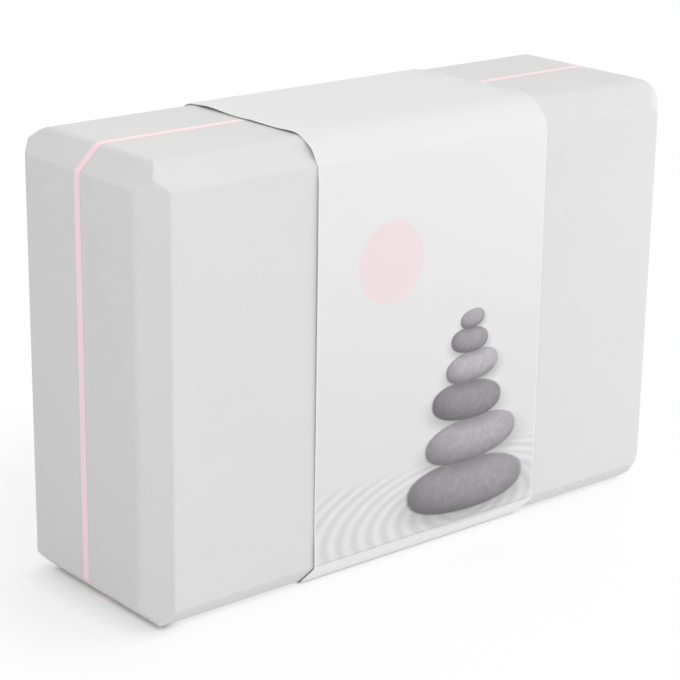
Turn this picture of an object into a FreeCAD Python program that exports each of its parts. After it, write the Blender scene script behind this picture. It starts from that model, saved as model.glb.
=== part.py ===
import FreeCAD, Part
import math
import os

# Foam block, sizes in millimetres
block_length = 228.0
block_height = 152.0
block_depth = 76.0
edge_bevel = 8.0
edge_softening = 2.0

# Coloured sheet between the two foam halves, with an adhesive film on each side
stripe_thickness = 3.0
bond_thickness = 0.15

# Card sleeve round the middle of the block, which stands on the sleeve's underside
sleeve_width = 100.0
card_thickness = 0.35
sleeve_gap = 0.5

# How the card passes the bevels: in soft bends at the top, creased by the block's weight at the bottom
top_bevel_gap = 1.1
top_bend_radius = 8.0
bottom_bevel_gap = 0.4
bottom_bend_radius = 2.0

# Ripples of the slack card over the top, front to rear, as shares of half the flat between the top bends
ripple_place_shares = (-0.865, -0.52, -0.137, 0.233, 0.657)
ripple_rise_shares = (0.016, -0.021, 0.023, -0.021, 0.028)
ripple_radius_share = 1.0

# Glued lap that closes the sleeve at the back: the outer end steps over the hidden one
lap_length = 16.0
lap_glue_thickness = 0.12
lap_glue_margin = 2.0
lap_end_gap = 1.0
step_run = 3.0
step_radius = 6.0

cut_overrun = 5.0

# Places that follow from the sizes
block_bottom = card_thickness
block_top = block_bottom + block_height
block_middle = block_bottom + block_height / 2
sleeve_front = -block_depth / 2 - sleeve_gap
sleeve_rear = block_depth / 2 + sleeve_gap
sleeve_top = block_top + sleeve_gap
top_cut = edge_bevel + 2 * sleeve_gap - math.sqrt(2) * top_bevel_gap
bottom_cut = edge_bevel + sleeve_gap - math.sqrt(2) * bottom_bevel_gap
top_flat_half = sleeve_rear - top_cut - top_bend_radius * math.tan(math.pi / 8)
hidden_end = block_middle + lap_length / 2
outer_end = block_middle - lap_length / 2
lap_step = card_thickness + lap_glue_thickness
step_bottom = hidden_end + lap_end_gap
step_top = step_bottom + step_run


def bevelled(box, axis):
    """The box with its four edges along one axis cut back at 45 degrees."""
    edges = [edge for edge in box.Edges if round(abs(edge.tangentAt(edge.FirstParameter).dot(axis)))]
    return box.makeChamfer(edge_bevel, edges)


def block_outside():
    """Outside of the whole block: three bevels meet in a point at each corner, and every edge is softened."""
    corner = FreeCAD.Vector(-block_length / 2, -block_depth / 2, block_bottom)
    box = Part.makeBox(block_length, block_depth, block_height, corner)
    shape = bevelled(box, FreeCAD.Vector(1, 0, 0))
    shape = shape.common(bevelled(box, FreeCAD.Vector(0, 1, 0)))
    shape = shape.common(bevelled(box, FreeCAD.Vector(0, 0, 1)))
    return shape.makeFillet(edge_softening, shape.Edges)


def block_layer(outside, front, rear):
    """The flat layer of the block that lies between two depths."""
    corner = FreeCAD.Vector(-block_length / 2 - cut_overrun, front, block_bottom - cut_overrun)
    room = Part.makeBox(block_length + 2 * cut_overrun, rear - front, block_height + 2 * cut_overrun, corner)
    return outside.common(room).Solids[0]


def block_layers():
    """The two foam halves, the coloured sheet between them and the two adhesive films."""
    outside = block_outside()
    stripe_face = stripe_thickness / 2
    foam_face = stripe_face + bond_thickness
    beyond = block_depth / 2 + cut_overrun
    return {
        "front_slab": block_layer(outside, -beyond, -foam_face),
        "front_bond": block_layer(outside, -foam_face, -stripe_face),
        "stripe_sheet": block_layer(outside, -stripe_face, stripe_face),
        "rear_bond": block_layer(outside, stripe_face, foam_face),
        "rear_slab": block_layer(outside, foam_face, beyond),
    }


def card_bends():
    """Corners of the card's inside line in the end view, as (depth, height, tightest radius), hidden end first."""
    ripples = [
        (top_flat_half * place, sleeve_top + top_flat_half * rise, top_flat_half * ripple_radius_share)
        for place, rise in zip(ripple_place_shares, ripple_rise_shares)
    ]
    return [
        (sleeve_rear, hidden_end, 0),
        (sleeve_rear, block_bottom + bottom_cut, bottom_bend_radius),
        (sleeve_rear - bottom_cut, block_bottom, bottom_bend_radius),
        (sleeve_front + bottom_cut, block_bottom, bottom_bend_radius),
        (sleeve_front, block_bottom + bottom_cut, bottom_bend_radius),
        (sleeve_front, sleeve_top - top_cut, top_bend_radius),
        (sleeve_front + top_cut, sleeve_top, top_bend_radius),
        *ripples,
        (sleeve_rear - top_cut, sleeve_top, top_bend_radius),
        (sleeve_rear, sleeve_top - top_cut, top_bend_radius),
        (sleeve_rear, step_top, step_radius),
        (sleeve_rear + lap_step, step_bottom, step_radius),
        (sleeve_rear + lap_step, outer_end, 0),
    ]


def outward_of(run):
    """Direction that points out of the sleeve from a run of the card's line."""
    return FreeCAD.Vector(0, -run.z, run.y)


def card_line(outward):
    """Edges of the bent card's line at one distance outward from its inside, and the line's two ends."""
    bends = card_bends()
    points = [FreeCAD.Vector(0, depth, height) for depth, height, _ in bends]
    runs = [(after - before).normalize() for before, after in zip(points, points[1:])]
    first = points[0] + outward_of(runs[0]) * outward
    last = points[-1] + outward_of(runs[-1]) * outward
    edges = []
    start = first
    for point, run, next_run, (_, _, tightest) in zip(points[1:-1], runs, runs[1:], bends[1:-1]):
        side = outward_of(run)
        next_side = outward_of(next_run)
        corner = point + (side + next_side) * (outward / (1 + side.dot(next_side)))
        to_centre = next_run - run
        folds_inward = to_centre.dot(side) < 0
        radius = tightest + (outward if folds_inward else card_thickness - outward)
        half_turn = run.getAngle(next_run) / 2
        tangent = radius * math.tan(half_turn)
        bend_start = corner - run * tangent
        bend_end = corner + next_run * tangent
        bend_middle = corner + to_centre.normalize() * (radius / math.cos(half_turn) - radius)
        edges.append(Part.makeLine(start, bend_start))
        edges.append(Part.Arc(bend_start, bend_middle, bend_end).toShape())
        start = bend_end
    edges.append(Part.makeLine(start, last))
    return edges, first, last


def sleeve():
    """The card band: one strip bent round the block and lapped over its own hidden end."""
    inside, inside_first, inside_last = card_line(0)
    outside, outside_first, outside_last = card_line(card_thickness)
    ends = [Part.makeLine(inside_first, outside_first), Part.makeLine(inside_last, outside_last)]
    outline = Part.Wire(Part.__sortEdges__(inside + outside + ends))
    band = Part.Face(outline).extrude(FreeCAD.Vector(sleeve_width, 0, 0))
    band.translate(FreeCAD.Vector(-sleeve_width / 2, 0, 0))
    print("flat card:", round(sum(edge.Length for edge in inside), 1), "by", sleeve_width, "mm")
    return band


def lap_glue():
    """Strip of glue between the hidden end of the card and the outer end over it."""
    corner = FreeCAD.Vector(
        -sleeve_width / 2 + lap_glue_margin, sleeve_rear + card_thickness, outer_end + lap_glue_margin
    )
    width = sleeve_width - 2 * lap_glue_margin
    height = lap_length - 2 * lap_glue_margin
    return Part.makeBox(width, lap_glue_thickness, height, corner)


nodes = block_layers()
nodes["sleeve"] = sleeve()
nodes["lap_glue"] = lap_glue()

os.makedirs("parts", exist_ok=True)
for name, shape in nodes.items():
    shape.exportStep(f"parts/{name}.step")
    box = shape.BoundBox
    size = [round(length, 2) for length in (box.XLength, box.YLength, box.ZLength)]
    print(name, shape.ShapeType, shape.isValid(), round(shape.Volume, 1), size)
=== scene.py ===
import math

import bmesh
import bpy
import numpy as np
from mathutils import Matrix, Vector


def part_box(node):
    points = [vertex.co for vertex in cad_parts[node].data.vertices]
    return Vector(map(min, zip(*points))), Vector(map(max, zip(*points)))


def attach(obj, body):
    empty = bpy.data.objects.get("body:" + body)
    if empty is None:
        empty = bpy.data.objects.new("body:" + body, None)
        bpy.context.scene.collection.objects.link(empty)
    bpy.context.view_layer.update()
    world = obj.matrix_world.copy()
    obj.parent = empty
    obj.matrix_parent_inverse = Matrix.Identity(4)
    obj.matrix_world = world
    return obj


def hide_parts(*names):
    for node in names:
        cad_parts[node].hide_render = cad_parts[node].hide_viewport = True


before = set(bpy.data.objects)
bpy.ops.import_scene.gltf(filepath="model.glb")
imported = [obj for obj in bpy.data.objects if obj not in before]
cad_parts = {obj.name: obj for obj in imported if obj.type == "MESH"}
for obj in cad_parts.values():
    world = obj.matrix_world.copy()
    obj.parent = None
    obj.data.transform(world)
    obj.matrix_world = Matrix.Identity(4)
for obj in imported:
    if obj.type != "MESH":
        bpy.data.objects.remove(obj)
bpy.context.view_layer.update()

MM = 0.001

# Sizes and places read from the CAD frame, in metres
front_low, front_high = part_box("front_slab")
rear_low, rear_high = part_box("rear_slab")
stripe_low, stripe_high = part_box("stripe_sheet")
sleeve_low, sleeve_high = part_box("sleeve")
glue_low, glue_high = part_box("lap_glue")
block_half = np.array(rear_high - front_low) / 2
block_centre = np.array(rear_high + front_low) / 2
card_thickness = front_low.z - sleeve_low.z
sleeve_gap = front_low.y - sleeve_low.y - card_thickness
sleeve_front = front_low.y - sleeve_gap
sleeve_rear = rear_high.y + sleeve_gap
sleeve_top = rear_high.z + sleeve_gap
sleeve_half_width = sleeve_high.x

# Sizes of the foam that the frame's boxes don't give, and how its mesh is divided
edge_bevel = 8 * MM
edge_softness = 0.35 * MM
right_corner_softness = 3.5 * MM
long_top_roundness = 2.2 * MM
other_roundness = 1.2 * MM
seam_relief = 0.15 * MM
seam_segments = 2
bevel_lines = 25
bevel_line_crowding = 1.5
flat_line_spacing = 8 * MM
weld_digits = 7
surface_halvings = 40
foam_sharp_angle = math.radians(20)

# Sizes of the bent card, as in the part's source, how near it comes to the foam, and how its mesh is divided
top_bevel_gap = 1.1 * MM
top_bend_radius = 8 * MM
bottom_bevel_gap = 0.4 * MM
bottom_bend_radius = 2 * MM
lap_margin = 2 * MM
lap_end_gap = 1 * MM
step_run = 3 * MM
step_radius = 6 * MM
least_gap = 0.08 * MM
card_step = 1.5 * MM
bend_step = math.radians(4)
least_bend_steps = 6
card_columns = 49
card_sharp_angle = math.radians(35)

# Lift of the slack card off its plain line: crests and hollows as (way, lift) in millimetres
middle_lifts = (
    (9, 0), (25, -0.15), (138, -0.15),
    (145.2, -0.35), (150.3, -0.2), (155.4, -0.25), (164, -0.38), (206, -0.38),
    (215.7, -0.3), (222, -0.1), (240, 0),
)
left_edge_lifts = (
    (9, 0), (25, -0.35), (60, -0.15), (110, 0), (138, 0),
    (146, -0.66), (150.3, 0), (154.6, -0.75), (161, 0.25), (170.8, -0.12), (182, 0), (190, -0.22),
    (205.3, 0.42), (215.7, -0.3), (222, -0.1), (240, 0),
)
right_edge_lifts = (
    (9, 0), (80, -0.1), (138, -0.3),
    (145.2, -0.42), (150.3, -0.25), (155.4, -0.3), (161, 0.4), (170.3, -0.4), (181.3, 0.6), (194, -0.4),
    (204.8, 0.65), (215.7, -0.3), (222, -0.1), (240, 0),
)
edge_curl = 14

# Waver of the glue's outline: bulges round it, and the share that each draws the outline in
glue_points = 240
glue_squareness = 0.2
broad_bulges = 9
broad_bulge_share = 0.02
fine_bulges = 23
fine_bulge_share = 0.015

# Colours of the foam, the adhesive and the bare card
grey_foam_colour = (0.69, 0.69, 0.69)
pink_foam_colour = (0.96, 0.74, 0.775)
adhesive_colour = (0.74, 0.67, 0.67)
raw_card_colour = (0.80, 0.80, 0.79)

# The sleeve's print, in millimetres across from the middle of the front panel and up from its foot
wall_low_colour = (0.70, 0.70, 0.705)
# Printed wall gradient, also a painted highlight: it gets lighter towards the top bend, standing in for the
# light's sheen there
upper_wall_print_and_highlight_colour = (0.757, 0.757, 0.762)
wall_print_and_highlight_heights = (30, 140)
# Painted shade: the top panel is printed darker, against the stronger light that falls on it
top_painted_shade_colour = (0.705, 0.705, 0.71)
top_painted_shade_heights = (148, 166)
disc_middle = (-19, 108)
disc_radius = 14
disc_rim = 0.4
disc_colour = (0.80, 0.68, 0.69)
horizon_height = 33
horizon_haze = 2
sand_colour = (0.74, 0.735, 0.735)
furrow_colour = (0.64, 0.635, 0.645)
ring_middle = (17, 14)
ring_flatness = 2.6
ring_spacing = 6.5
stone_colour = (0.31, 0.285, 0.315)
stone_shadow_colour = (0.10, 0.09, 0.10)
foot_to_foot = 66.7

# Painted highlight on the card's foot below its fold and along its cut edges, and painted shade along the
# fold's crease, sizes in millimetres
fold_height = 9.2
fold_blur = 0.8
crease_shade_widths = (0.6, 0.1)
crease_shade_strength = 0.35
crease_shade_colour = (0.45, 0.45, 0.46)
edge_highlight_widths = (0.6, 0.2)
edge_highlight_strength = 0.9
painted_highlight_colour = (0.80, 0.80, 0.80)

# Pebbles from the lowest up: middle across and up, half length, half height, tilt in degrees, shade
pebbles = (
    (17, 22, 27, 9.5, 2, 0.8),
    (19, 38.6, 21, 8, -3, 1.05),
    (16.5, 53, 16, 7, 4, 0.7),
    (18.5, 65, 12, 5.6, -5, 1.2),
    (17, 74.6, 8.5, 4.5, 3, 0.85),
    (18, 82, 5.5, 3.3, -8, 1.0),
)

# Camera, solved from the edges of the block and the sleeve in the photograph
picture_side = 680
focal_length_pixels = 2159.0
sensor_width_mm = 36.0
camera_azimuth = math.radians(-40.06)
camera_elevation = math.radians(18.23)
camera_roll = math.radians(0.86)
camera_distance = 746.8 * MM
camera_target = Vector((-7.99, 0, 69.25)) * MM
nearest_seen = 10 * MM

# Light of the surroundings: their even level, and what they gain towards their bright side
even_light = 0.695
side_light = 0.55
bright_side = (0.8, 0.03, 0.6)

# Softboxes: name, direction from the block, distance and side in metres, power in watts
softboxes = (
    ("right_softbox", (0.80, -0.55, 0.24), 0.5, 0.3, 0.53),
    ("left_softbox", (-0.62, -0.45, 0.64), 0.6, 0.4, 0.66),
)

# Floor: its paper, and how white it looks and how much it glows, near the block and in the block's shade
floor_half_side = 6.0
floor_drop = 0.05 * MM
floor_colour = (0.92, 0.92, 0.92)
floor_near_white = 0.86
floor_shade_white = 0.5
shade_direction = (-0.8, 0.6, 0)
shade_start = 50 * MM
shade_end = 100 * MM
white_start = 115 * MM
white_end = 190 * MM
floor_glow = 0.55
floor_shade_glow = 0.11
glow_end = -105 * MM
shade_glow_start = -125 * MM

# Dark lines on the floor where the foam and the card come close to it, and the shade beside the left end
foam_contact_reach = 2.2 * MM
card_contact_reach = 0.38 * MM
contact_samples = 8
covered_share = 0.2
clear_share = 0.9
contact_white = 0.1
lit_contact_white = 0.7
end_shade_white = 0.58
end_shade_start = 8 * MM
end_shade_end = 16 * MM


# Node helpers

def add_node(tree, kind, inputs=(), **settings):
    """Adds a node with its settings, and fills or links its inputs, a dict of name or place to value."""
    node = tree.nodes.new(kind)
    for name, value in settings.items():
        setattr(node, name, value)
    for name, value in dict(inputs).items():
        if isinstance(value, bpy.types.NodeSocket):
            tree.links.new(value, node.inputs[name])
        else:
            node.inputs[name].default_value = value
    return node


def calculate(tree, operation, *values, clamp=False):
    """Adds a math node and returns its result."""
    return add_node(
        tree, "ShaderNodeMath", dict(enumerate(values)), operation=operation, use_clamp=clamp
    ).outputs[0]


def blend_colour(tree, share, first, second, blend_type="MIX"):
    """Adds a colour mix and returns its result; 6 and 7 are the mix node's two colour inputs."""
    return add_node(
        tree, "ShaderNodeMix", {0: share, 6: first, 7: second}, data_type="RGBA", blend_type=blend_type
    ).outputs[2]


def ramp(tree, value, low, high, start=0.0, end=1.0):
    """Goes smoothly from start at low to end at high."""
    return add_node(
        tree,
        "ShaderNodeMapRange",
        {"Value": value, "From Min": low, "From Max": high, "To Min": start, "To Max": end},
        interpolation_type="SMOOTHSTEP",
    ).outputs["Result"]


def effect_group(name, inputs, outputs):
    """A new shader node group: the group, the sockets of its inputs and the sockets of its outputs."""
    tree = bpy.data.node_groups.new(name, "ShaderNodeTree")
    for socket, (kind, default) in inputs.items():
        made = tree.interface.new_socket(socket, in_out="INPUT", socket_type=kind)
        made.default_value = default
    for socket, kind in outputs.items():
        tree.interface.new_socket(socket, in_out="OUTPUT", socket_type=kind)
    return tree, tree.nodes.new("NodeGroupInput").outputs, tree.nodes.new("NodeGroupOutput").inputs


def place_group(tree, group, **inputs):
    """Places an effect group in a material; underscores in the names of its inputs stand for spaces."""
    node = add_node(tree, "ShaderNodeGroup", node_tree=group)
    for name, value in inputs.items():
        socket = node.inputs[name.replace("_", " ")]
        if isinstance(value, bpy.types.NodeSocket):
            tree.links.new(value, socket)
        else:
            socket.default_value = value
    return node.outputs


def new_material(name):
    """An empty node material: the material, its tree and its output node."""
    material = bpy.data.materials.new(name)
    material.use_nodes = True
    material.node_tree.nodes.clear()
    return material, material.node_tree, add_node(material.node_tree, "ShaderNodeOutputMaterial")


# Effects that the finishes place more than once

COLOUR = "NodeSocketColor"
NUMBER = "NodeSocketFloat"
VECTOR = "NodeSocketVector"


def make_foam_cells():
    """Closed cells of a cut foam face: fine pits, and a broad mottling of its tone."""
    group, given, put_out = effect_group(
        "foam_cells",
        {
            "Place": (VECTOR, (0, 0, 0)),
            "Cells per mm": (NUMBER, 1.6),
            "Colour": (COLOUR, (1, 1, 1, 1)),
            "Cell shade": (NUMBER, 0.05),
            "Mottling": (NUMBER, 0.03),
        },
        {"Colour": COLOUR, "Height": NUMBER, "Roughness": NUMBER},
    )
    links = group.links
    small_per_large = 2.7
    large_share = 0.6
    small_share = 0.4
    patches_per_mm = 0.045
    mean_patch = 0.5
    mean_height = 0.45
    mean_roughness = 0.82
    roughness_spread = 0.2
    finer = calculate(group, "MULTIPLY", given["Cells per mm"], small_per_large)
    large_cells, small_cells = (
        add_node(group, "ShaderNodeTexVoronoi", {"Vector": given["Place"], "Scale": scale}, feature="F1")
        for scale in (given["Cells per mm"], finer)
    )
    walls = calculate(group, "MULTIPLY", large_cells.outputs["Distance"], large_share)
    height = calculate(group, "MULTIPLY_ADD", small_cells.outputs["Distance"], small_share, walls)
    patches = add_node(
        group,
        "ShaderNodeTexNoise",
        {"Vector": given["Place"], "Scale": patches_per_mm, "Detail": 4.0, "Roughness": 0.55},
    )
    mottle = calculate(group, "SUBTRACT", patches.outputs["Fac"], mean_patch)
    pit = calculate(group, "SUBTRACT", height, mean_height)
    tone = calculate(group, "MULTIPLY_ADD", pit, given["Cell shade"], 1.0)
    tone = calculate(group, "MULTIPLY_ADD", mottle, given["Mottling"], tone)
    shade = add_node(group, "ShaderNodeCombineColor", {0: tone, 1: tone, 2: tone})
    links.new(blend_colour(group, 1.0, given["Colour"], shade.outputs[0], "MULTIPLY"), put_out["Colour"])
    links.new(height, put_out["Height"])
    roughness = calculate(group, "MULTIPLY_ADD", mottle, roughness_spread, mean_roughness)
    links.new(roughness, put_out["Roughness"])
    return group


def make_card_fibres():
    """Fibres of a card's face: a faint felted relief and a slight unevenness of its tone."""
    group, given, put_out = effect_group(
        "card_fibres",
        {"Place": (VECTOR, (0, 0, 0)), "Colour": (COLOUR, (1, 1, 1, 1)), "Unevenness": (NUMBER, 0.03)},
        {"Colour": COLOUR, "Height": NUMBER},
    )
    links = group.links
    fibres_per_mm = 3.0
    patches_per_mm = 0.06
    patch_share = 0.6
    mean_height = 0.8
    felt = add_node(
        group,
        "ShaderNodeTexNoise",
        {
            "Vector": given["Place"],
            "Scale": fibres_per_mm,
            "Detail": 5.0,
            "Roughness": 0.6,
            "Distortion": 1.5,
        },
    )
    patches = add_node(
        group, "ShaderNodeTexNoise", {"Vector": given["Place"], "Scale": patches_per_mm, "Detail": 3.0}
    )
    both = calculate(group, "MULTIPLY_ADD", patches.outputs["Fac"], patch_share, felt.outputs["Fac"])
    uneven = calculate(group, "SUBTRACT", both, mean_height)
    tone = calculate(group, "MULTIPLY_ADD", uneven, given["Unevenness"], 1.0)
    shade = add_node(group, "ShaderNodeCombineColor", {0: tone, 1: tone, 2: tone})
    links.new(blend_colour(group, 1.0, given["Colour"], shade.outputs[0], "MULTIPLY"), put_out["Colour"])
    links.new(felt.outputs["Fac"], put_out["Height"])
    return group


def make_pebble():
    """A printed picture of a smooth, softly lit pebble, and its shadow on the ground that it lies on."""
    group, given, put_out = effect_group(
        "printed_pebble",
        {
            "Place": (VECTOR, (0, 0, 0)),
            "Ground": (COLOUR, (1, 1, 1, 1)),
            "Stone": (COLOUR, (0.3, 0.3, 0.3, 1)),
            "Middle": (VECTOR, (0, 0, 0)),
            "Half size": (VECTOR, (10, 5, 1)),
            "Tilt": (NUMBER, 0.0),
        },
        {"Colour": COLOUR},
    )
    squareness = 2.3
    light_ahead = 0.75
    light_right = 0.3
    light_above = 0.5
    light_range = (-0.5, 1.05)
    tone_range = (0.42, 1.3)
    grains_per_mm = 0.9
    veins_per_mm = 0.14
    mark_strength = 0.5
    shadow_drop = 0.4
    shadow_narrowing = 0.95
    shadow_rims = (1.35, 0.5)
    shadow_strength = 0.55
    stone_rims = (1.04, 0.96)
    offset = add_node(
        group, "ShaderNodeVectorMath", {0: given["Place"], 1: given["Middle"]}, operation="SUBTRACT"
    )
    turned = add_node(
        group,
        "ShaderNodeVectorRotate",
        {"Vector": offset.outputs["Vector"], "Angle": given["Tilt"]},
        rotation_type="Z_AXIS",
    )
    scaled = add_node(
        group,
        "ShaderNodeVectorMath",
        {0: turned.outputs["Vector"], 1: given["Half size"]},
        operation="DIVIDE",
    )
    across, up, _ = add_node(group, "ShaderNodeSeparateXYZ", {0: scaled.outputs["Vector"]}).outputs

    def rounded_distance(x, y):
        x_part = calculate(group, "POWER", calculate(group, "ABSOLUTE", x), squareness)
        y_part = calculate(group, "POWER", calculate(group, "ABSOLUTE", y), squareness)
        return calculate(group, "POWER", calculate(group, "ADD", x_part, y_part), 1 / squareness)

    distance = rounded_distance(across, up)
    fall = calculate(group, "MULTIPLY", distance, distance)
    dome = calculate(group, "SQRT", calculate(group, "SUBTRACT", 1.0, fall, clamp=True))
    light = calculate(group, "MULTIPLY", dome, light_ahead)
    light = calculate(group, "MULTIPLY_ADD", across, light_right, light)
    light = calculate(group, "MULTIPLY_ADD", up, light_above, light)
    tone = ramp(group, light, *light_range, *tone_range)
    grain = add_node(
        group,
        "ShaderNodeTexNoise",
        {"Vector": given["Place"], "Scale": grains_per_mm, "Detail": 6.0, "Roughness": 0.7},
    )
    veins = add_node(
        group,
        "ShaderNodeTexNoise",
        {"Vector": turned.outputs["Vector"], "Scale": veins_per_mm, "Detail": 4.0, "Distortion": 2.0},
    )
    marks = calculate(group, "ADD", grain.outputs["Fac"], veins.outputs["Fac"])
    mark_tone = calculate(group, "MULTIPLY_ADD", marks, mark_strength, 1 - mark_strength)
    tone = calculate(group, "MULTIPLY", tone, mark_tone)
    stone_tone = add_node(group, "ShaderNodeCombineColor", {0: tone, 1: tone, 2: tone}).outputs[0]
    stone = blend_colour(group, 1.0, given["Stone"], stone_tone, "MULTIPLY")
    below = calculate(group, "ADD", up, shadow_drop)
    from_shadow = rounded_distance(calculate(group, "MULTIPLY", across, shadow_narrowing), below)
    shadow = ramp(group, from_shadow, *shadow_rims, 0.0, shadow_strength)
    ground = blend_colour(group, shadow, given["Ground"], (*stone_shadow_colour, 1))
    on_stone = ramp(group, distance, *stone_rims)
    group.links.new(blend_colour(group, on_stone, ground, stone), put_out["Colour"])
    return group


def object_place(tree):
    """The place on the piece in millimetres."""
    place = add_node(tree, "ShaderNodeTexCoord").outputs["Object"]
    return add_node(tree, "ShaderNodeMapping", {"Vector": place, "Scale": (1 / MM,) * 3}).outputs["Vector"]


def card_place(tree):
    """The place on the unrolled card in millimetres: across from its middle, and up from the front's foot."""
    width = 2 * sleeve_half_width / MM
    flat = add_node(tree, "ShaderNodeUVMap", uv_map="flat_card").outputs["UV"]
    return add_node(
        tree,
        "ShaderNodeMapping",
        {"Vector": flat, "Location": (-width / 2, 0, 0), "Scale": (width, width, 1)},
    ).outputs["Vector"]


def relief_normal(tree, height, strength, depth):
    """The normal of a surface whose relief has a given depth."""
    relief = add_node(tree, "ShaderNodeBump", {"Height": height, "Strength": strength, "Distance": depth})
    return relief.outputs["Normal"]


# Finishes

def foam_finish(name, colour, cells):
    """Matte closed-cell foam."""
    material, tree, output = new_material(name)
    foam = place_group(
        tree,
        cells,
        Place=object_place(tree),
        Colour=(*colour, 1),
        Cells_per_mm=1.5,
        Cell_shade=0.05,
        Mottling=0.05,
    )
    cell_depth = 0.12 * MM
    shader = add_node(
        tree,
        "ShaderNodeBsdfPrincipled",
        {
            "Base Color": foam["Colour"],
            "Roughness": foam["Roughness"],
            "Normal": relief_normal(tree, foam["Height"], strength=0.35, depth=cell_depth),
            "Specular IOR Level": 0.3,
        },
    )
    tree.links.new(shader.outputs[0], output.inputs["Surface"])
    return material


def adhesive_finish(name, colour, cells):
    """Rubbery adhesive film between two layers."""
    material, tree, output = new_material(name)
    film = place_group(
        tree,
        cells,
        Place=object_place(tree),
        Colour=(*colour, 1),
        Cells_per_mm=0.6,
        Cell_shade=0.12,
        Mottling=0.2,
    )
    bubble_depth = 0.05 * MM
    shader = add_node(
        tree,
        "ShaderNodeBsdfPrincipled",
        {
            "Base Color": film["Colour"],
            "Roughness": 0.45,
            "Normal": relief_normal(tree, film["Height"], strength=0.3, depth=bubble_depth),
        },
    )
    tree.links.new(shader.outputs[0], output.inputs["Surface"])
    return material


def raw_card_finish(name, colour, fibres):
    """Uncoated white card on the sleeve's inside and its cut edges."""
    material, tree, output = new_material(name)
    card = place_group(tree, fibres, Place=object_place(tree), Colour=(*colour, 1), Unevenness=0.08)
    fibre_depth = 0.05 * MM
    light_depth = 0.6 * MM
    shader = add_node(
        tree,
        "ShaderNodeBsdfPrincipled",
        {
            "Base Color": card["Colour"],
            "Roughness": 0.75,
            "Normal": relief_normal(tree, card["Height"], strength=0.3, depth=fibre_depth),
            "Subsurface Weight": 1.0,
            "Subsurface Radius": (1, 1, 1),
            "Subsurface Scale": light_depth,
        },
    )
    tree.links.new(shader.outputs[0], output.inputs["Surface"])
    return material


def raked_sand(tree, place):
    """Ground of the print: raked sand and a wall with a blush disc. The wall's printed gradient is lightened
    towards the top bend as a painted highlight and darkened on the top panel as painted shade. The foot below
    the fold and the cut edges get a painted highlight, and the fold's crease gets painted shade.
    """
    across, way, _ = add_node(tree, "ShaderNodeSeparateXYZ", {0: place}).outputs
    up = calculate(tree, "MAXIMUM", way, calculate(tree, "SUBTRACT", -foot_to_foot, way))
    ground_place = add_node(tree, "ShaderNodeCombineXYZ", {0: across, 1: up}).outputs["Vector"]
    # Printed wall gradient, lighter towards the top bend as a painted highlight
    wall_print_and_highlight_share = ramp(tree, up, *wall_print_and_highlight_heights)
    wall = blend_colour(tree, wall_print_and_highlight_share, (*wall_low_colour, 1), (*upper_wall_print_and_highlight_colour, 1))
    # Painted shade: the top panel is made darker than the wall below it
    wall = blend_colour(tree, ramp(tree, up, *top_painted_shade_heights), wall, (*top_painted_shade_colour, 1))
    from_disc = add_node(tree, "ShaderNodeVectorMath", {0: place, 1: (*disc_middle, 0)}, operation="DISTANCE")
    on_disc = ramp(tree, from_disc.outputs["Value"], disc_radius + disc_rim, disc_radius - disc_rim)
    wall = blend_colour(tree, on_disc, wall, (*disc_colour, 1))
    flattened = add_node(
        tree,
        "ShaderNodeMapping",
        {
            "Vector": ground_place,
            "Location": (-ring_middle[0], -ring_middle[1] * ring_flatness, 0),
            "Scale": (1, ring_flatness, 1),
        },
    )
    from_ring = add_node(tree, "ShaderNodeVectorMath", {0: flattened.outputs["Vector"]}, operation="LENGTH")
    turn = calculate(tree, "MULTIPLY", from_ring.outputs["Value"], 2 * math.pi / ring_spacing)
    wave = calculate(tree, "SINE", turn)
    sand = blend_colour(tree, ramp(tree, wave, -1, 1), (*furrow_colour, 1), (*sand_colour, 1))
    on_sand = ramp(tree, up, horizon_height + horizon_haze, horizon_height - horizon_haze)
    scene = blend_colour(tree, on_sand, wall, sand)
    # Painted highlight: the foot below the fold is made lighter
    below_fold = ramp(tree, up, fold_height, fold_height - fold_blur)
    foot = blend_colour(tree, below_fold, scene, (*painted_highlight_colour, 1))
    # Painted shade: a dark line along the fold's crease
    from_fold = calculate(tree, "ABSOLUTE", calculate(tree, "SUBTRACT", up, fold_height))
    on_crease_shade = ramp(tree, from_fold, *crease_shade_widths, 0, crease_shade_strength)
    foot = blend_colour(tree, on_crease_shade, foot, (*crease_shade_colour, 1))
    # Painted highlight: a light line along the card's cut edges
    highlight_start, highlight_full = (sleeve_half_width / MM - width for width in edge_highlight_widths)
    on_edge_highlight = ramp(tree, calculate(tree, "ABSOLUTE", across), highlight_start, highlight_full, 0, edge_highlight_strength)
    return blend_colour(tree, on_edge_highlight, foot, (*painted_highlight_colour, 1))


def printed_card_finish(name, fibres, pebble):
    """Varnished print on the sleeve's outside: a stack of balanced pebbles on raked sand."""
    material, tree, output = new_material(name)
    place = card_place(tree)
    picture = raked_sand(tree, place)
    for middle_across, middle_up, half_length, half_height, tilt, shade in pebbles:
        picture = place_group(
            tree,
            pebble,
            Place=place,
            Ground=picture,
            Stone=(*(shade * part for part in stone_colour), 1),
            Middle=(middle_across, middle_up, 0),
            Half_size=(half_length, half_height, 1),
            Tilt=math.radians(tilt),
        )["Colour"]
    card = place_group(tree, fibres, Place=object_place(tree), Colour=picture, Unevenness=0.02)
    fibre_depth = 0.05 * MM
    shader = add_node(
        tree,
        "ShaderNodeBsdfPrincipled",
        {
            "Base Color": card["Colour"],
            "Roughness": 0.42,
            "Normal": relief_normal(tree, card["Height"], strength=0.05, depth=fibre_depth),
            "Coat Weight": 0.35,
            "Coat Roughness": 0.25,
        },
    )
    tree.links.new(shader.outputs[0], output.inputs["Surface"])
    return material


# Meshes

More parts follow.
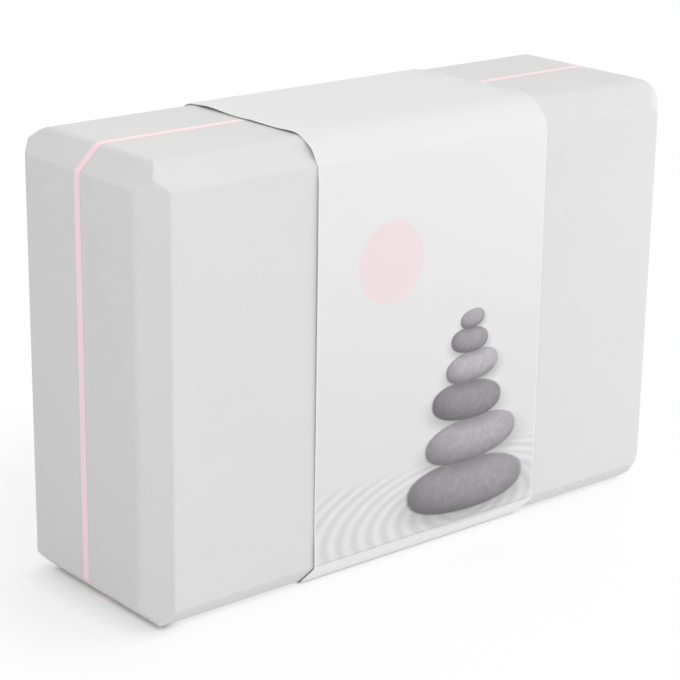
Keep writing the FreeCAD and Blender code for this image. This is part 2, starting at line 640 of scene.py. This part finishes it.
def new_piece(name, mesh, body, slot, *nodes):
    """Puts a mesh in the scene as a piece that rides on a body and stands for CAD nodes."""
    piece = bpy.data.objects.new(name, mesh)
    bpy.context.scene.collection.objects.link(piece)
    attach(piece, body)
    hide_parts(*nodes)
    return piece


def smooth(value, low, high):
    """Goes smoothly from 0 at low to 1 at high."""
    share = np.clip((value - low) / (high - low), 0, 1)
    return share * share * (3 - 2 * share)


def foam_lines(half):
    """Places of the mesh lines along one axis of the block: close together round the bevels' edges."""
    turn = np.linspace(-1, 1, bevel_lines)
    inset = edge_bevel * (1 + np.sign(turn) * np.abs(turn) ** bevel_line_crowding)
    flat = half - 2 * edge_bevel
    inner = np.linspace(-flat, flat, 2 * round(flat / flat_line_spacing))
    return np.unique(np.round(np.concatenate([inset - half, inner, half - inset]), weld_digits))


def box_faces(lines):
    """Points and four-sided faces of a box's surface, divided along the given lines of its three axes."""
    faces = []
    for axis in range(3):
        along, across = (axis + 1) % 3, (axis + 2) % 3
        for side in (0, -1):
            a, b = np.meshgrid(lines[along], lines[across], indexing="ij")
            sheet = np.empty(a.shape + (3,))
            sheet[..., axis] = lines[axis][side]
            sheet[..., along] = a
            sheet[..., across] = b
            quads = np.stack([sheet[:-1, :-1], sheet[1:, :-1], sheet[1:, 1:], sheet[:-1, 1:]], axis=2)
            faces.append(quads[:, :, :: -1 if side == 0 else 1].reshape(-1, 4, 3))
    corners = np.concatenate(faces).reshape(-1, 3)
    points, index = np.unique(np.round(corners, weld_digits), axis=0, return_inverse=True)
    return points, index.reshape(-1, 4)


def rounded_over(first, second, roundness):
    """The larger of two distances, blended where they come within the roundness of each other."""
    nearness = np.maximum(roundness - np.abs(first - second), 0)
    return np.maximum(first, second) + nearness * nearness / (4 * roundness)


def softened(first, second, softness):
    """Distance from a solid between two square faces whose edge is softened to the given radius."""
    return np.hypot(np.maximum(first + softness, 0), np.maximum(second + softness, 0)) - softness


def foam_clearance(points):
    """Distance of points from the block's bevelled outside, negative inside.

    The long top edges are rounder than the others, and the right end's corners are rounder than the left's.
    """
    end, broad, level = np.moveaxis(np.abs(points - block_centre) - block_half, -1, 0)
    long_bevel, end_bevel, upright_bevel = (
        (first + second + edge_bevel) / math.sqrt(2)
        for first, second in ((broad, level), (level, end), (end, broad))
    )
    long_roundness = np.where(points[..., 2] > block_centre[2], long_top_roundness, other_roundness)
    levels = np.maximum(
        rounded_over(level, long_bevel, long_roundness), rounded_over(level, end_bevel, other_roundness)
    )
    ends = rounded_over(end, upright_bevel, other_roundness)
    corner_softness = np.where(points[..., 0] > block_centre[0], right_corner_softness, edge_softness)
    return softened(softened(levels, ends, corner_softness), broad, edge_softness)


def block_outside():
    """Outside of the whole block as one closed mesh: a gridded box drawn in onto the bevelled shape."""
    points, faces = box_faces([foam_lines(half) for half in block_half])
    core = np.clip(points, 2 * edge_bevel - block_half, block_half - 2 * edge_bevel)
    low = np.zeros(len(points))
    high = np.ones(len(points))
    for _ in range(surface_halvings):
        middle = (low + high) / 2
        outside = foam_clearance(core + (points - core) * middle[:, None] + block_centre) > 0
        low = np.where(outside, low, middle)
        high = np.where(outside, middle, high)
    mesh = bpy.data.meshes.new("block_outside")
    mesh.from_pydata((core + (points - core) * low[:, None] + block_centre).tolist(), [], faces.tolist())
    return mesh


def block_layer(name, outside, front=None, rear=None, relief=0.0):
    """Mesh of the block's layer between two depths, its cut rims relieved where it meets the next layer."""
    layer = bmesh.new()
    layer.from_mesh(outside)
    rims = []
    for depth, facing in ((front, -1), (rear, 1)):
        if depth is None:
            continue
        cut = bmesh.ops.bisect_plane(
            layer,
            geom=layer.verts[:] + layer.edges[:] + layer.faces[:],
            plane_co=(0, depth, 0),
            plane_no=(0, facing, 0),
            clear_outer=True,
        )
        rim = [item for item in cut["geom_cut"] if isinstance(item, bmesh.types.BMEdge)]
        bmesh.ops.holes_fill(layer, edges=rim)
        rims += rim
    if relief:
        bmesh.ops.bevel(
            layer, geom=rims, offset=relief, segments=seam_segments, profile=0.5, affect="EDGES"
        )
    for face in layer.faces:
        face.smooth = True
    mesh = bpy.data.meshes.new(name)
    layer.to_mesh(mesh)
    layer.free()
    mesh.set_sharp_from_angle(angle=foam_sharp_angle)
    return mesh


def card_bends():
    """Corners of the card's inside line in the end view, hidden end first: depth, height, inside radius."""
    lap_step = card_thickness + glue_high.y - glue_low.y
    step_bottom = glue_high.z + lap_margin + lap_end_gap
    top_cut = edge_bevel + 2 * sleeve_gap - math.sqrt(2) * top_bevel_gap
    bottom_cut = edge_bevel + sleeve_gap - math.sqrt(2) * bottom_bevel_gap
    return [
        (sleeve_rear, glue_high.z + lap_margin, 0),
        (sleeve_rear, front_low.z + bottom_cut, bottom_bend_radius),
        (sleeve_rear - bottom_cut, front_low.z, bottom_bend_radius),
        (sleeve_front + bottom_cut, front_low.z, bottom_bend_radius),
        (sleeve_front, front_low.z + bottom_cut, bottom_bend_radius),
        (sleeve_front, sleeve_top - top_cut, top_bend_radius),
        (sleeve_front + top_cut, sleeve_top, top_bend_radius),
        (sleeve_rear - top_cut, sleeve_top, top_bend_radius),
        (sleeve_rear, sleeve_top - top_cut, top_bend_radius),
        (sleeve_rear, step_bottom + step_run, step_radius),
        (sleeve_rear + lap_step, step_bottom, step_radius),
        (sleeve_rear + lap_step, glue_low.z - lap_margin, 0),
    ]


def card_line():
    """Points along the card's inside line and the outward direction at each, in the end view."""
    bends = card_bends()
    corners = [Vector(bend[:2]) for bend in bends]
    runs = [(after - before).normalized() for before, after in zip(corners, corners[1:])]
    points = [corners[0]]
    outward = [Vector((-runs[0].y, runs[0].x))]

    def go_straight(end):
        start = points[-1]
        steps = max(1, round((end - start).length / card_step))
        for step in range(1, steps + 1):
            points.append(start.lerp(end, step / steps))
            outward.append(outward[-1])

    for corner, run, next_run, (_, _, radius) in zip(corners[1:], runs, runs[1:], bends[1:]):
        turn = run.angle_signed(next_run)
        go_straight(corner - run * radius * abs(math.tan(turn / 2)))
        side = outward[-1]
        bow = math.copysign(radius, turn)
        centre = points[-1] - side * bow
        steps = max(least_bend_steps, round(abs(turn) / bend_step))
        for step in range(1, steps + 1):
            turned = Matrix.Rotation(-turn * step / steps, 2) @ side
            points.append(centre + turned * bow)
            outward.append(turned)
    go_straight(corners[-1])
    return np.array(points), np.array(outward)


def through(knots, way):
    """Goes in even waves through a list of crests and hollows."""
    places, heights = np.array(knots).T
    before = np.clip(np.searchsorted(places, way) - 1, 0, len(places) - 2)
    share = smooth(way, places[before], places[before + 1])
    return heights[before] + (heights[before + 1] - heights[before]) * share


def card_lift(across, way):
    """How far the slack card lies off its plain line, over its width and along its way.

    The way counts up the front panel from its foot, over the top and down the back.
    """
    middle, left, right = (
        through(lifts, way / MM)[:, None] * MM for lifts in (middle_lifts, left_edge_lifts, right_edge_lifts)
    )
    edge = np.where(across < 0, left, right)
    return middle + (edge - middle) * np.abs(across / sleeve_half_width) ** edge_curl


def sleeve_mesh():
    """The card band: printed outside, raw inside and raw cut edges, unrolled in its UV map.

    One step of the map is the card's width, and it counts up the front panel from its foot.
    """
    line, outward = card_line()
    along = np.concatenate([[0], np.cumsum(np.linalg.norm(np.diff(line, axis=0), axis=1))])
    # The row half way up the front panel, where outward points to the front
    front_row = np.argmin(np.abs(line[:, 1] - block_centre[2]) + outward[:, 0])
    way = along - along[front_row] + line[front_row, 1]
    across = sleeve_half_width * np.sin(np.linspace(-0.5, 0.5, card_columns) * math.pi)[None, :]
    lift = card_lift(across, way)
    rows, columns = lift.shape
    direction = np.zeros((rows, columns, 3))
    direction[..., 1:] = outward[:, None, :]
    inside = np.zeros((rows, columns, 3))
    inside[..., 0] = across
    inside[..., 1:] = line[:, None, :]
    inside += direction * lift[..., None]
    faces_floor = -0.9
    shortage = np.maximum(least_gap - foam_clearance(inside), 0) * (outward[:, 1:] > faces_floor)
    inside += direction * shortage[..., None]
    outside = inside + direction * card_thickness
    points = np.concatenate([inside.reshape(-1, 3), outside.reshape(-1, 3)])

    inner = np.arange(rows * columns).reshape(rows, columns)
    outer = inner + rows * columns

    def strip(a, b):
        return np.stack([a[:-1], a[1:], b[1:], b[:-1]], axis=-1).reshape(-1, 4)

    printed = np.concatenate([strip(outer[:, i], outer[:, i + 1]) for i in range(columns - 1)])
    raw = np.concatenate(
        [strip(inner[:, i + 1], inner[:, i]) for i in range(columns - 1)]
        + [strip(inner[:, 0], outer[:, 0]), strip(outer[:, -1], inner[:, -1])]
        + [strip(outer[0], inner[0]), strip(inner[-1], outer[-1])]
    )
    faces = np.concatenate([printed, raw])
    mesh = bpy.data.meshes.new("sleeve_card")
    mesh.from_pydata(points.tolist(), [], faces.tolist())

    flat = np.empty((2, rows, columns, 2))
    flat[..., 0] = across / sleeve_half_width / 2 + 0.5
    flat[..., 1] = (way / sleeve_half_width / 2)[:, None]
    unrolled = mesh.uv_layers.new(name="flat_card")
    unrolled.data.foreach_set("uv", flat.reshape(-1, 2)[faces.ravel()].astype(np.float32).ravel())
    mesh.polygons.foreach_set("material_index", np.repeat([0, 1], [len(printed), len(raw)]).astype(np.int32))
    mesh.shade_smooth()
    mesh.set_sharp_from_angle(angle=card_sharp_angle)
    return mesh


def glue_mesh():
    """Strip of glue between the card's two ends, with the uneven outline of glue pressed out flat."""
    turn = np.linspace(0, 2 * math.pi, glue_points, endpoint=False)
    half_width = (glue_high.x - glue_low.x) / 2
    half_height = (glue_high.z - glue_low.z) / 2
    middle_height = (glue_high.z + glue_low.z) / 2
    broad_waver = broad_bulge_share * (1 + np.sin(broad_bulges * turn))
    fine_waver = fine_bulge_share * (1 + np.sin(fine_bulges * turn + 1))
    waver = 1 - broad_waver - fine_waver

    def squared(part):
        return np.sign(part) * np.abs(part) ** glue_squareness

    x = half_width * squared(np.cos(turn)) * waver
    z = half_height * squared(np.sin(turn)) * waver + middle_height
    front = np.stack([x, np.full_like(x, glue_low.y), z], axis=1)
    rear = np.stack([x, np.full_like(x, glue_high.y), z], axis=1)
    count = len(turn)
    sides = [(i, (i + 1) % count, (i + 1) % count + count, i + count) for i in range(count)]
    mesh = bpy.data.meshes.new("lap_glue_film")
    mesh.from_pydata(
        np.concatenate([front, rear]).tolist(),
        [],
        [tuple(range(count)), tuple(reversed(range(count, 2 * count)))] + [side[::-1] for side in sides],
    )
    return mesh


# The block's layers and the sleeve

foam_cells = make_foam_cells()
card_fibres = make_card_fibres()
grey_foam = foam_finish("grey_foam", grey_foam_colour, foam_cells)
pink_foam = foam_finish("pink_foam", pink_foam_colour, foam_cells)
adhesive = adhesive_finish("adhesive", adhesive_colour, foam_cells)
raw_card = raw_card_finish("raw_card", raw_card_colour, card_fibres)
printed_card = printed_card_finish("printed_card", card_fibres, make_pebble())

outside = block_outside()
layers = (
    ("front_foam", "front_slab", "grey_foam", grey_foam, None, front_high.y, seam_relief),
    ("front_adhesive", "front_bond", "adhesive", adhesive, front_high.y, stripe_low.y, 0.0),
    ("stripe_foam", "stripe_sheet", "pink_foam", pink_foam, stripe_low.y, stripe_high.y, 0.0),
    ("rear_adhesive", "rear_bond", "adhesive", adhesive, stripe_high.y, rear_low.y, 0.0),
    ("rear_foam", "rear_slab", "grey_foam", grey_foam, rear_low.y, None, seam_relief),
)
for name, node, slot, finish, front, rear, relief in layers:
    mesh = block_layer(name, outside, front, rear, relief)
    mesh.materials.append(finish)
    piece = new_piece(name, mesh, "block", slot, node)

card = sleeve_mesh()
card.materials.append(printed_card)
card.materials.append(raw_card)
new_piece("card_sleeve", card, "sleeve", "printed_card", "sleeve")
glue = glue_mesh()
glue.materials.append(adhesive)
new_piece("lap_glue_film", glue, "sleeve", "adhesive", "lap_glue")


# Floor, light and camera

def floor_finish():
    """White floor that keeps the object's shadow, dark where it touches, and fades to plain white."""
    material, tree, output = new_material("studio_floor")
    place = add_node(tree, "ShaderNodeTexCoord").outputs["Object"]
    distance = add_node(tree, "ShaderNodeVectorMath", {0: place}, operation="LENGTH").outputs["Value"]
    into_shade = add_node(
        tree, "ShaderNodeVectorMath", {0: place, 1: shade_direction}, operation="DOT_PRODUCT"
    ).outputs["Value"]
    path = add_node(tree, "ShaderNodeLightPath").outputs
    seen = calculate(tree, "MAXIMUM", path["Is Camera Ray"], path["Is Glossy Ray"])
    near = ramp(tree, into_shade, shade_start, shade_end, floor_near_white, floor_shade_white)
    white = ramp(tree, distance, white_start, white_end, near, 1.0)
    along, deep, _ = add_node(tree, "ShaderNodeSeparateXYZ", {0: place}).outputs
    glow = ramp(tree, along, glow_end, shade_glow_start, floor_glow, floor_shade_glow)
    whiteness = add_node(tree, "ShaderNodeMix", {0: seen, 2: glow, 3: white}).outputs[0]
    end_foot = edge_bevel - block_half[0]
    foot_white = ramp(tree, along, end_foot, end_foot + edge_bevel, contact_white, lit_contact_white)
    for reach, darkest in ((foam_contact_reach, foot_white), (card_contact_reach, contact_white)):
        cover = add_node(tree, "ShaderNodeAmbientOcclusion", {"Distance": reach}, samples=contact_samples)
        contact = ramp(tree, cover.outputs["AO"], covered_share, clear_share, darkest, 1.0)
        whiteness = calculate(tree, "MULTIPLY", whiteness, contact)
    beside = ramp(tree, along, end_foot - end_shade_end, end_foot - end_shade_start)
    before_block = ramp(tree, along, end_foot + edge_bevel, end_foot)
    along_end = ramp(tree, calculate(tree, "ABSOLUTE", deep), block_half[1], block_half[1] - edge_bevel)
    shaded = calculate(tree, "MULTIPLY", calculate(tree, "MULTIPLY", beside, before_block), along_end)
    end_white = calculate(tree, "MULTIPLY_ADD", shaded, end_shade_white - 1.0, 1.0)
    whiteness = calculate(tree, "MULTIPLY", whiteness, end_white)
    paper = add_node(
        tree,
        "ShaderNodeBsdfPrincipled",
        {"Base Color": (*floor_colour, 1), "Roughness": 0.9, "Specular IOR Level": 0.0},
    )
    lit = add_node(tree, "ShaderNodeEmission", {"Color": (1, 1, 1, 1), "Strength": 1.0})
    mixed = add_node(tree, "ShaderNodeMixShader", {0: whiteness, 1: paper.outputs[0], 2: lit.outputs[0]})
    tree.links.new(mixed.outputs[0], output.inputs["Surface"])
    return material


def add_floor():
    """Wide floor just under the sleeve's underside."""
    mesh = bpy.data.meshes.new("floor")
    sides = ((-1, -1), (1, -1), (1, 1), (-1, 1))
    corners = [(x * floor_half_side, y * floor_half_side, -floor_drop) for x, y in sides]
    mesh.from_pydata(corners, [], [(0, 1, 2, 3)])
    mesh.materials.append(floor_finish())
    floor = bpy.data.objects.new("floor", mesh)
    bpy.context.scene.collection.objects.link(floor)


def add_world():
    """White surroundings, brighter on the right, that light the object softly and show as plain white."""
    world = bpy.data.worlds.new("studio")
    bpy.context.scene.world = world
    world.use_nodes = True
    tree = world.node_tree
    tree.nodes.clear()
    path = add_node(tree, "ShaderNodeLightPath").outputs
    seen = calculate(tree, "MAXIMUM", path["Is Camera Ray"], path["Is Glossy Ray"])
    seen = calculate(tree, "MAXIMUM", seen, path["Is Transmission Ray"])
    towards = add_node(tree, "ShaderNodeTexCoord").outputs["Generated"]
    side = add_node(tree, "ShaderNodeVectorMath", {0: towards, 1: bright_side}, operation="DOT_PRODUCT")
    light = calculate(tree, "MULTIPLY_ADD", side.outputs["Value"], side_light, even_light)
    level = add_node(tree, "ShaderNodeMix", {0: seen, 2: light, 3: 1.0}).outputs[0]
    sky = add_node(tree, "ShaderNodeBackground", {"Color": (1, 1, 1, 1), "Strength": level})
    output = add_node(tree, "ShaderNodeOutputWorld")
    tree.links.new(sky.outputs[0], output.inputs["Surface"])


def add_softbox(name, direction, distance, size, power):
    """Square studio lamp that faces the object and leaves reflections to the surroundings."""
    lamp = bpy.data.lights.new(name, "AREA")
    lamp.shape = "SQUARE"
    lamp.size = size
    lamp.energy = power
    softbox = bpy.data.objects.new(name, lamp)
    towards = Vector(direction).normalized()
    softbox.location = camera_target + towards * distance
    softbox.rotation_euler = towards.to_track_quat("Z", "Y").to_euler()
    softbox.visible_glossy = False
    bpy.context.scene.collection.objects.link(softbox)


def add_camera():
    """Camera at the photograph's place, with its lens and its slight roll."""
    lens = bpy.data.cameras.new("camera")
    lens.sensor_fit = "HORIZONTAL"
    lens.sensor_width = sensor_width_mm
    lens.lens = focal_length_pixels / picture_side * sensor_width_mm
    lens.clip_start = nearest_seen
    camera = bpy.data.objects.new("camera", lens)
    bpy.context.scene.collection.objects.link(camera)
    back = Vector(
        (
            math.sin(camera_azimuth) * math.cos(camera_elevation),
            -math.cos(camera_azimuth) * math.cos(camera_elevation),
            math.sin(camera_elevation),
        )
    )
    level_right = Vector((0, 0, 1)).cross(back).normalized()
    level_up = back.cross(level_right)
    right = level_right * math.cos(camera_roll) + level_up * math.sin(camera_roll)
    up = back.cross(right)
    place = Matrix((right, up, back)).transposed().to_4x4()
    place.translation = camera_target + back * camera_distance
    camera.matrix_world = place
    bpy.context.scene.camera = camera


add_floor()
add_world()
for softbox in softboxes:
    add_softbox(*softbox)
add_camera()
bpy.context.scene.view_settings.view_transform = "Standard"
